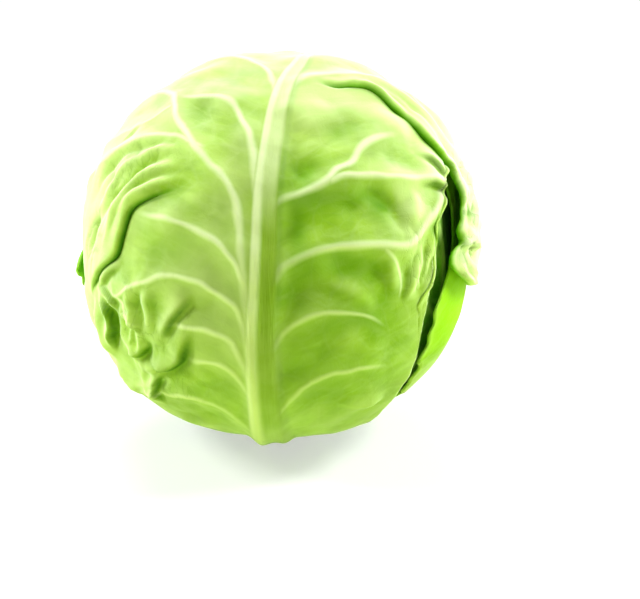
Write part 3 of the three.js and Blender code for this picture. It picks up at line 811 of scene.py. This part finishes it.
# where the front leaf's slit looks in on the leaf behind, which gets painted shade, its veins left out and a
# fresh green brightened as painted light there: degrees round from the front, and height (m)
slitView = {
    "shade": (30, 38, 66, 78), "shadeFrom": (0.088, 0.102), "veinless": (30, 38, 70, 84),
    "freshLit": (30, 42, 62, 92), "freshLitFrom": (0.035, 0.07), "shadeDepth": 0.86,
}
wrapperLeaf = {
    "slot": "leaf_inner", "columns": 110, "rows": 120, "lengthScale": 0.92, "thickness": 1.1,
    "swell": 0.25, "tentHeight": 0.5, "tentReach": 14.0, "cordHeight": 0.4, "ribValley": 0.0,
    "rib": 0.8,         # share of the relief that is left under the leaves above
    "lobe": None,       # a stretch of the right margin that stands off the head
    "shaded": 0.0,      # 1 for the leaf that the slit looks in on, and so gets the painted shade and painted light there
    "edgeSharpness": 56.0,
}
wrapperLeaves = [       # what differs from one leaf to the next
    dict(wrapperLeaf, name="rearLeaf", node="leaf_2", slot="leaf_outer", azimuth=150, layer=1, columns=150,
         rows=150, widthScale=1.1, lengthScale=0.97, rib=1.0, swell=0.5, tentHeight=1.6, tentReach=16.0,
         cordHeight=0.6, lobe={"at": 0.76, "spread": 0.14, "reach": 10.0, "climb": 12.0, "stand": 11.5},
         shaded=1.0, seed=21),
    dict(wrapperLeaf, name="leftLeaf", node="leaf_3", azimuth=-92, layer=2, widthScale=0.84, seed=31),
    dict(wrapperLeaf, name="rightLeaf", node="leaf_4", azimuth=62, layer=3, widthScale=0.8, seed=41),
    dict(wrapperLeaf, name="lowLeaf", node="leaf_5", azimuth=-140, layer=4, columns=90, rows=100,
         widthScale=0.74, lengthScale=0.9, rib=0.4, seed=51),
]


def sideVeins(scale, seed):
    # pairs of side veins that leave the midrib and curve up towards the margin, each with a fork
    dice = np.random.default_rng(seed)
    veins = []
    for side in (-1, 1):
        for level in range(7):
            start = -88 + level * 21 + side * 4 + dice.uniform(-3, 3)
            reach = side * (34 + 12 * level if level < 4 else 76 - 10 * (level - 4)) * scale
            climb = 16 + 3 * level + dice.uniform(-4, 4)
            bend = dice.uniform(-3, 3)
            fork = (reach * 0.6, start + climb * 0.9)
            veins.append(([(side * 1.0, start), (reach * 0.25, start + climb * 0.55 + bend), fork,
                           (reach, start + climb * 0.8)], 1.5, 0.7, 0.9))
            veins.append(([fork, (reach * 0.75, start + climb * 1.4), (reach * 0.9, start + climb * 1.7)],
                          0.9, 0.5, 0.6))
    return veins


def placeWrapper(spec, veins, s, t):
    seed = spec["seed"]
    middle = throughKnots(wrapT, wrapV, t) * spec["lengthScale"] \
        + head["leafBase"] * (1 - spec["lengthScale"])
    atSide = smoothStep(0.8, 1.0, np.abs(s))
    tip = smoothStep(0.85, 1.0, t)
    wave = 1.2 * np.sin(t * 31 + seed) + 0.8 * np.sin(t * 57)
    u = s * (throughKnots(wrapT, wrapWidth, t) * spec["widthScale"]) + wave * atSide * np.sign(s)
    v = middle - throughKnots(wrapT, wrapDroop, t) * s * s \
        + 2.5 * tip * softNoise(s * 40, np.full_like(s, 2.0), 4.0, seed + 11)
    stand = np.zeros_like(s)
    if spec["lobe"]:
        lobe = smoothStep(0.8, 1.0, s) * hump(t - spec["lobe"]["at"], spec["lobe"]["spread"])
        u = u + lobe * (spec["lobe"]["reach"] + 0.4 * np.sin(t * 120))
        v = v + lobe * spec["lobe"]["climb"]
        stand = lobe * (spec["lobe"]["stand"] + 0.8 * np.sin(t * 75))
    relief, _, _, masks = leafRelief(u, v, spec, wrapperRib, veins)
    ruffle = np.maximum(tip, smoothStep(0.85, 1.0, np.abs(s)))      # all round the margin
    relief = relief * spec["rib"] + 0.6 * ruffle * softNoise(u, v, 6.0, seed + 13)
    points = layOnHead(spec["azimuth"], u, v, relief + stand - spec["layer"] * head["layerPitch"])
    turn = np.degrees(np.arctan2(points[:, 0], -points[:, 1]))
    up = points[:, 2]
    # the leaf's pale veins are left out in the slit's painted shade
    for channel in range(veinChannels):
        masks["veinForce%d" % channel] *= 1 - 0.95 * spec["shaded"] * between(turn, *slitView["veinless"])
    inShade = between(turn, *slitView["shade"]) * smoothStep(*slitView["shadeFrom"], up)
    freshLitHere = between(turn, *slitView["freshLit"]) * smoothStep(*slitView["freshLitFrom"], up)
    # painted shade inside the slit
    masks["crevice"] = slitView["shadeDepth"] * spec["shaded"] * inShade
    # saturated fresh green, brightened as painted light against the shade it lies in: in the slit and where
    # the lobe stands off
    masks["freshLit"] = spec["shaded"] * freshLitHere + smoothStep(1.0, 9.0, stand)
    # the standing lobe's face: the leaf's inner-side green with painted shade
    masks["wall"] = 0.8 * smoothStep(3.0, 10.0, stand)
    masks["edge"] = np.exp(-(1 - np.abs(s)) * spec["edgeSharpness"])
    # on these leaves only a random tone
    masks["shadeAndTone"] = 0.4 * softNoise(u, v, 26.0, seed + 3)
    return points, u, v, masks


def makeWrapper(spec):
    veins = sideVeins(spec["widthScale"], spec["seed"])
    stations = np.linspace(-1, 1, spec["columns"] + 1)
    shares = np.linspace(0, 1, spec["rows"] + 1)
    piece = sheetMesh(spec["name"], stations, len(shares),
                      lambda s, row: placeWrapper(spec, veins, s, shares[row]))
    giveThickness(piece, spec["thickness"])
    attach(piece, "root")
    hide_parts(spec["node"])
    return piece


wrapperPieces = [makeWrapper(spec) for spec in wrapperLeaves]
print("wrapper leaves are laid")

# packed inner head: one dense ball with the low steps of leaf edges that overlap round it
innerHead = {"inset": 15.2, "around": 180, "up": 110, "leafTurn": 72.0, "leafLean": 0.9, "stepHeight": 1.1,
             "sunk": 0.9}
ball = bmesh.new()
bmesh.ops.create_uvsphere(ball, u_segments=innerHead["around"], v_segments=innerHead["up"], radius=1.0)
ballPoints = np.array([vert.co for vert in ball.verts])
ballAcross = np.hypot(ballPoints[:, 0], ballPoints[:, 1])
ballTurn = np.degrees(np.arctan2(ballPoints[:, 0], -ballPoints[:, 1]))
ballRise = np.degrees(np.arcsin(np.clip(ballPoints[:, 2], -1, 1)))
step = ((ballTurn + innerHead["leafLean"] * ballRise) / innerHead["leafTurn"]) % 1.0
overlap = innerHead["stepHeight"] * (1 - step) * np.cos(np.radians(ballRise)) - innerHead["sunk"]
ballRadius = headRadius(ballAcross, ballPoints[:, 2]) - innerHead["inset"] + overlap
ballPlaced = ballPoints * ballRadius[:, None]
ballPlaced[:, 2] += head["centreZ"]
for vert, spot in zip(ball.verts, ballPlaced * metresPerMm):
    vert.co = spot
for face in ball.faces:
    face.smooth = True
innerPiece = pieceFrom(ball, "innerHead")
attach(innerPiece, "root")
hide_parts("inner_head")

# trimmed stem, its side a little knobbly above the cut
stump = {"radius": 21.0, "topRadius": 17.8, "height": 19.6, "rim": 1.2, "rings": 4, "ringWidth": 4.2,
         "knobsFrom": 0.8, "knobs": ((5, 1.0, 0.018), (11, 0.0, 0.012))}
stalk = bmesh.new()
bmesh.ops.create_cone(stalk, cap_ends=True, cap_tris=False, segments=96,
                      radius1=stump["radius"] * metresPerMm, radius2=stump["topRadius"] * metresPerMm,
                      depth=stump["height"] * metresPerMm)
bmesh.ops.translate(stalk, verts=stalk.verts, vec=(0, 0, stump["height"] * metresPerMm / 2))
bottom = [edge for edge in stalk.edges if all(vert.co.z < 0.0001 for vert in edge.verts)]
bmesh.ops.bevel(stalk, geom=bottom, offset=stump["rim"] * metresPerMm, affect="EDGES", segments=3,
                profile=0.5, material=-1)
capFaces = [face for face in stalk.faces if face.normal.z < -0.999]
for ring in range(stump["rings"]):
    bmesh.ops.inset_region(stalk, faces=capFaces, thickness=stump["ringWidth"] * metresPerMm)
    capFaces = [face for face in capFaces if face.is_valid]
for vert in stalk.verts:
    if vert.co.z > stump["knobsFrom"] * metresPerMm:
        spin = math.atan2(vert.co.y, vert.co.x)
        bump = 1 + sum(size * math.sin(count * spin + shift) for count, shift, size in stump["knobs"])
        vert.co.x *= bump
        vert.co.y *= bump
for face in stalk.faces:
    face.smooth = abs(face.normal.z) < 0.9
stumpPiece = pieceFrom(stalk, "stump")
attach(stumpPiece, "root")
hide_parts("stem")
print("inner head and stump are made")


# materials
def newGroup(name, factor, value, outputs):
    # a group that takes a vector and one factor, and puts out factors
    group = bpy.data.node_groups.new(name, "ShaderNodeTree")
    group.interface.new_socket(name="Vector", in_out="INPUT", socket_type="NodeSocketVector")
    socket = group.interface.new_socket(name=factor, in_out="INPUT", socket_type="NodeSocketFloat")
    socket.default_value = value
    for label in outputs:
        group.interface.new_socket(name=label, in_out="OUTPUT", socket_type="NodeSocketFloat")
    return group, group.nodes.new("NodeGroupInput").outputs, group.nodes.new("NodeGroupOutput")


def useGroup(tree, group, inputs):
    node = tree.nodes.new("ShaderNodeGroup")
    node.node_tree = group
    return feed(tree, node, inputs)


def mathNode(tree, operation, first, second=0.0, clamp=False):
    node = tree.nodes.new("ShaderNodeMath")
    node.operation = operation
    node.use_clamp = clamp
    return feed(tree, node, {0: first, 1: second}).outputs[0]


def times(tree, first, second, clamp=False):
    return mathNode(tree, "MULTIPLY", first, second, clamp)


def plus(tree, first, second, clamp=False):
    return mathNode(tree, "ADD", first, second, clamp)


def offFrom(tree, value, middle):
    # how far a value is from middle, either way
    return mathNode(tree, "ABSOLUTE", mathNode(tree, "SUBTRACT", value, middle))


def blendColour(tree, amount, first, second):
    node = tree.nodes.new("ShaderNodeMix")
    node.data_type = "RGBA"
    return feed(tree, node, {0: amount, 6: first, 7: second}).outputs[2]


def noiseOf(tree, vector, scale, detail, roughness=0.55, distortion=0.0):
    return feed(tree, tree.nodes.new("ShaderNodeTexNoise"),
                {"Vector": vector, "Scale": scale, "Detail": detail, "Roughness": roughness,
                 "Distortion": distortion}).outputs["Fac"]


def rangeOf(tree, value, low, high, toLow=0.0, toHigh=1.0):
    node = tree.nodes.new("ShaderNodeMapRange")
    node.interpolation_type = "SMOOTHSTEP"
    return feed(tree, node, {"Value": value, "From Min": low, "From Max": high, "To Min": toLow,
                             "To Max": toHigh}).outputs["Result"]


def stretched(tree, vector, scale, turn=0.0):
    return feed(tree, tree.nodes.new("ShaderNodeMapping"),
                {"Vector": vector, "Scale": scale, "Rotation": (0.0, 0.0, turn)}).outputs["Vector"]


def bumpOf(tree, height, strength, distance):
    return feed(tree, tree.nodes.new("ShaderNodeBump"),
                {"Height": height, "Strength": strength, "Distance": distance}).outputs["Normal"]


def makeVeinNet():
    # fine net of small veins between the big ones, with the pillows it leaves between
    group, given, end = newGroup("fineVeinNet", "Cell", 0.11, ("Lines", "Pillow"))
    warp = feed(group, group.nodes.new("ShaderNodeTexNoise"),
                {"Vector": given["Vector"], "Scale": 0.10, "Detail": 3.0})
    push = group.nodes.new("ShaderNodeVectorMath")
    push.operation = "MULTIPLY_ADD"
    feed(group, push, {0: warp.outputs["Color"], 1: (5.0, 5.0, 0.0), 2: given["Vector"]})
    distances = []
    lines = []
    for scale, weight in ((1.0, 1.0), (2.6, 0.5)):
        cells = group.nodes.new("ShaderNodeTexVoronoi")
        cells.feature = "DISTANCE_TO_EDGE"
        feed(group, cells, {"Vector": push.outputs[0], "Scale": times(group, given["Cell"], scale)})
        distances.append(cells.outputs["Distance"])
        lines.append(rangeOf(group, distances[-1], 0.0, 0.10, weight, 0.0))
    feed(group, end, {"Lines": mathNode(group, "MAXIMUM", *lines),
                      "Pillow": rangeOf(group, distances[0], 0.0, 0.45)})
    return group


def makeBloom():
    # cloudy wax bloom: whitish patches that are a little rougher
    group, given, end = newGroup("waxBloom", "Amount", 0.5, ("Mask", "Speckle"))
    cloud = noiseOf(group, given["Vector"], 22.0, 5.0, 0.6, 0.4)
    fine = noiseOf(group, given["Vector"], 900.0, 2.0, 0.6)
    feed(group, end, {"Mask": times(group, rangeOf(group, cloud, 0.38, 0.66), given["Amount"]),
                      "Speckle": rangeOf(group, fine, 0.35, 0.65)})
    return group


def makeStreaks():
    # faint streaks that run out from the midrib as the side veins do, from -1 to 1
    group, given, end = newGroup("sideStreaks", "Across", 0.0, ("Streak",))
    fields = []
    for lean in (24.0, 156.0):
        turn = math.radians(lean)
        join = group.nodes.new("ShaderNodeCombineXYZ")
        for slot, direction, scale in ((0, (math.cos(turn), math.sin(turn), 0.0), 0.11),
                                       (1, (-math.sin(turn), math.cos(turn), 0.0), 0.32)):
            along = group.nodes.new("ShaderNodeVectorMath")
            along.operation = "DOT_PRODUCT"
            feed(group, along, {0: given["Vector"], 1: direction})
            feed(group, join, {slot: times(group, along.outputs["Value"], scale)})
        fields.append(noiseOf(group, join.outputs[0], 1.0, 2.0, 0.5, 0.5))
    onRight = rangeOf(group, given["Across"], -1.0, 1.0)
    onLeft = mathNode(group, "SUBTRACT", 1.0, onRight)
    field = plus(group, times(group, fields[0], onRight), times(group, fields[1], onLeft))
    feed(group, end, {"Streak": rangeOf(group, field, 0.3, 0.7, -1.0, 1.0)})
    return group


veinNet = makeVeinNet()
bloom = makeBloom()
sideStreaks = makeStreaks()

outerLook = {
    "blade": srgb(130, 174, 14), "bladeLight": srgb(160, 202, 50), "bladePale": srgb(208, 235, 146),
    "bladeDeep": srgb(98, 152, 0), "pillow": srgb(146, 198, 24), "vein": srgb(234, 247, 196),
    "rib": srgb(172, 202, 90), "ribDark": srgb(138, 174, 42), "wax": srgb(192, 213, 130),
    "innerSideShaded": srgb(104, 186, 0), "shade": srgb(40, 96, 0), "edge": srgb(206, 240, 120),
    "through": srgb(160, 230, 10), "rim": srgb(238, 252, 224), "freshLit": srgb(152, 215, 10),
    "milk": srgb(158, 172, 108),
    "bloom": 0.28, "rimWaxSheen": 0.85, "roughness": 0.5, "specular": 0.1, "subsurface": 0.06,
    "translucency": 0.06,
    # how strongly each mask lays its colour on
    "pillows": 0.22, "netLines": 0.06, "streakPale": 0.15, "streakDeep": -0.2, "lightAndTonePale": 0.75,
    "shadeAndToneDeep": -0.8, "freshLitStrength": 0.8, "milkiness": 0.62, "paleFlap": 0.85, "veinHalo": 0.22, "ribs": 0.8,
    "ribShade": 0.24, "walls": 1.15, "crevices": 0.85, "edges": 0.5, "fineCreaseShade": 0.28,
}
innerLook = dict(outerLook, blade=srgb(92, 172, 0), bladeLight=srgb(116, 198, 0), rib=srgb(130, 190, 40),
                 ribDark=srgb(104, 170, 14), vein=srgb(190, 226, 120), bloom=0.03, rimWaxSheen=0.15)


def mask(tree, name):
    node = tree.nodes.new("ShaderNodeAttribute")
    node.attribute_name = name
    return node.outputs["Fac"]


def veinLines(tree):
    vein = None
    for channel in range(veinChannels):
        offset = mathNode(tree, "ABSOLUTE", mask(tree, "veinSide%d" % channel))
        line = times(tree, rangeOf(tree, offset, 0.0, 1.9, 1.0, 0.0), mask(tree, "veinForce%d" % channel))
        vein = line if vein is None else mathNode(tree, "MAXIMUM", vein, line)
    return vein


def ribColours(tree, look, place, across):
    # dark fibres with a pale stripe left of the middle, partly the rib's own paleness and partly a painted
    # highlight on the side the key light falls on, and a second one higher up the leaf
    fleck = rangeOf(tree, noiseOf(tree, stretched(tree, place, (0.9, 0.05, 1.0)), 1.0, 2.0), 0.35, 0.75)
    colour = blendColour(tree, times(tree, fleck, 0.35), look["ribDark"], look["rib"])
    upLeaf = feed(tree, tree.nodes.new("ShaderNodeSeparateXYZ"), {"Vector": place}).outputs["Y"]
    second = rangeOf(tree, offFrom(tree, across, 0.25), 0.3, 0.85, 0.62, 0.0)
    second = times(tree, second, rangeOf(tree, upLeaf, -14.0, 10.0))
    colour = blendColour(tree, second, colour, look["vein"])
    first = rangeOf(tree, offFrom(tree, across, -0.62), 0.1, 0.55, 1.0, 0.0)
    return blendColour(tree, first, colour, look["vein"])


def leafMaterial(name, look):
    material, tree, shader = newMaterial(name)
    attribute = tree.nodes.new("ShaderNodeAttribute")
    attribute.attribute_name = "leafPlace"
    place = attribute.outputs["Vector"]
    body = tree.nodes.new("ShaderNodeTexCoord").outputs["Object"]
    across = mask(tree, "ribAcross")
    shadeAndTone = mask(tree, "shadeAndTone")
    freshLit = mask(tree, "freshLit")
    wall = mask(tree, "wall")
    crevice = mask(tree, "crevice")
    vein = veinLines(tree)
    net = useGroup(tree, veinNet, {"Vector": place})
    wax = useGroup(tree, bloom, {"Vector": body, "Amount": look["bloom"]})
    streak = useGroup(tree, sideStreaks, {"Vector": place, "Across": across}).outputs["Streak"]
    rib = rangeOf(tree, mathNode(tree, "ABSOLUTE", across), 0.86, 1.12, 1.0, 0.0)
    ribSide = rangeOf(tree, offFrom(tree, across, 1.12), 0.02, 0.5, 1.0, 0.0)
    # no wax bloom and no painted rim sheen on the fresh, painted-lit leaf inside, in crevices, on walls and
    # where the blade is deeper green
    covered = mathNode(tree, "MAXIMUM", freshLit, mathNode(tree, "MAXIMUM", crevice, wall))
    waxy = mathNode(tree, "SUBTRACT", 1.0, times(tree, covered, 1.8), True)
    waxy = times(tree, waxy, plus(tree, shadeAndTone, 1.0, True))
    # fine creases: a bump, with painted shade along them, stronger where the leaf is crumpled
    fineCrease = noiseOf(tree, stretched(tree, place, (0.34, 0.16, 1.0), 0.5), 1.0, 2.0, 0.5, 0.8)
    fineCrease = offFrom(tree, fineCrease, 0.5)
    fineCrease = times(tree, rangeOf(tree, fineCrease, 0.0, 0.035, 1.0, 0.0), plus(tree, mask(tree, "crumpled"), 0.06))
    # painted sheen: the colour gets paler towards grazing angles, over the wax bloom
    facing = feed(tree, tree.nodes.new("ShaderNodeLayerWeight"), {"Blend": 0.35}).outputs["Facing"]
    rim = times(tree, mathNode(tree, "POWER", facing, 1.8), waxy)
    cloud = rangeOf(tree, noiseOf(tree, place, 0.055, 3.0, 0.55, 0.3), 0.34, 0.66)
    colour = blendColour(tree, cloud, look["blade"], look["bladeLight"])
    for shown, strength, paint in (
            (net.outputs["Pillow"], look["pillows"], look["pillow"]),
            (net.outputs["Lines"], look["netLines"], look["vein"]),
            (streak, look["streakPale"], look["bladePale"]),
            (streak, look["streakDeep"], look["bladeDeep"]),
            # painted light and shade on the front leaf, a random tone on the other leaves
            (shadeAndTone, look["lightAndTonePale"], look["bladePale"]),
            (shadeAndTone, look["shadeAndToneDeep"], look["bladeDeep"]),
            # fresh green of the leaf inside, brightened as painted light
            (freshLit, look["freshLitStrength"], look["freshLit"]),
            (mask(tree, "milk"), look["milkiness"], look["milk"]),
            # paler flap margin, partly a painted highlight
            (mask(tree, "pale"), look["paleFlap"], look["vein"]),
            (mask(tree, "halo"), look["veinHalo"], look["bladePale"]),
            (vein, 1.0, look["vein"]),
            (rib, look["ribs"], ribColours(tree, look, place, across)),
            (ribSide, look["ribShade"], look["shade"]),
            (wax.outputs["Mask"], waxy, look["wax"]),
            # turned faces: inner-side green with painted shade
            (wall, look["walls"], look["innerSideShaded"]),
            (crevice, look["crevices"], look["shade"]),
            (mask(tree, "edge"), look["edges"], look["edge"]),
            (fineCrease, look["fineCreaseShade"], look["bladeDeep"]),
            (rim, look["rimWaxSheen"], look["rim"])):
        colour = blendColour(tree, times(tree, shown, strength, True), colour, paint)
    speckle = wax.outputs["Speckle"]
    fibre = times(tree, noiseOf(tree, stretched(tree, place, (1.6, 0.12, 1.0)), 1.3, 2.0), rib)
    relief = plus(tree, times(tree, net.outputs["Lines"], 0.08), times(tree, vein, 0.5))
    relief = plus(tree, plus(tree, relief, times(tree, speckle, 0.05)), fibre)
    relief = plus(tree, plus(tree, relief, times(tree, fineCrease, -0.7)), times(tree, streak, 0.14))
    feed(tree, shader, {
        "Base Color": colour, "Roughness": plus(tree, times(tree, speckle, 0.10), look["roughness"]),
        "Specular IOR Level": look["specular"], "Subsurface Weight": look["subsurface"],
        "Subsurface Radius": (0.7, 1.0, 0.25), "Subsurface Scale": 0.003,
        "Normal": bumpOf(tree, relief, 0.5, 0.0006)})
    thin = feed(tree, tree.nodes.new("ShaderNodeBsdfTranslucent"), {"Color": look["through"]})
    both = feed(tree, tree.nodes.new("ShaderNodeMixShader"),
                {0: look["translucency"], 1: shader.outputs["BSDF"], 2: thin.outputs["BSDF"]})
    feed(tree, tree.nodes["Material Output"], {"Surface": both.outputs["Shader"]})
    return material


def heartMaterial():
    material, tree, shader = newMaterial("packedHead")
    body = tree.nodes.new("ShaderNodeTexCoord").outputs["Object"]
    wax = useGroup(tree, bloom, {"Vector": body})
    cloud = rangeOf(tree, noiseOf(tree, body, 30.0, 4.0), 0.35, 0.65)
    colour = blendColour(tree, cloud, srgb(176, 204, 96), srgb(210, 226, 150))
    colour = blendColour(tree, wax.outputs["Mask"], colour, srgb(222, 232, 182))
    feed(tree, shader, {"Base Color": colour, "Roughness": rangeOf(tree, cloud, 0.0, 1.0, 0.42, 0.55)})
    return material


def stumpMaterial():
    # cut fibres in rings, dry and brown in places
    material, tree, shader = newMaterial("cutStem")
    body = tree.nodes.new("ShaderNodeTexCoord").outputs["Object"]
    rings = tree.nodes.new("ShaderNodeTexWave")
    rings.wave_type = "RINGS"
    rings.rings_direction = "Z"
    feed(tree, rings, {"Vector": body, "Scale": 60.0, "Distortion": 2.5})
    colour = blendColour(tree, rings.outputs["Fac"], srgb(214, 214, 160), srgb(232, 232, 190))
    dry = rangeOf(tree, noiseOf(tree, body, 260.0, 5.0), 0.5, 0.75)
    colour = blendColour(tree, times(tree, dry, 0.5), colour, srgb(186, 168, 112))
    feed(tree, shader, {"Base Color": colour, "Roughness": rangeOf(tree, dry, 0.0, 1.0, 0.5, 0.72),
                        "Normal": bumpOf(tree, rings.outputs["Fac"], 0.4, 0.0005)})
    return material


outerMaterial = leafMaterial("outerLeaf", outerLook)
innerMaterial = leafMaterial("innerLeaf", innerLook)
frontPiece.data.materials.append(outerMaterial)
for spec, piece in zip(wrapperLeaves, wrapperPieces):
    piece.data.materials.append(outerMaterial if spec["slot"] == "leaf_outer" else innerMaterial)
innerPiece.data.materials.append(heartMaterial())
stumpPiece.data.materials.append(stumpMaterial())
print("materials are on")

bpy.context.scene.view_settings.view_transform = "Standard"
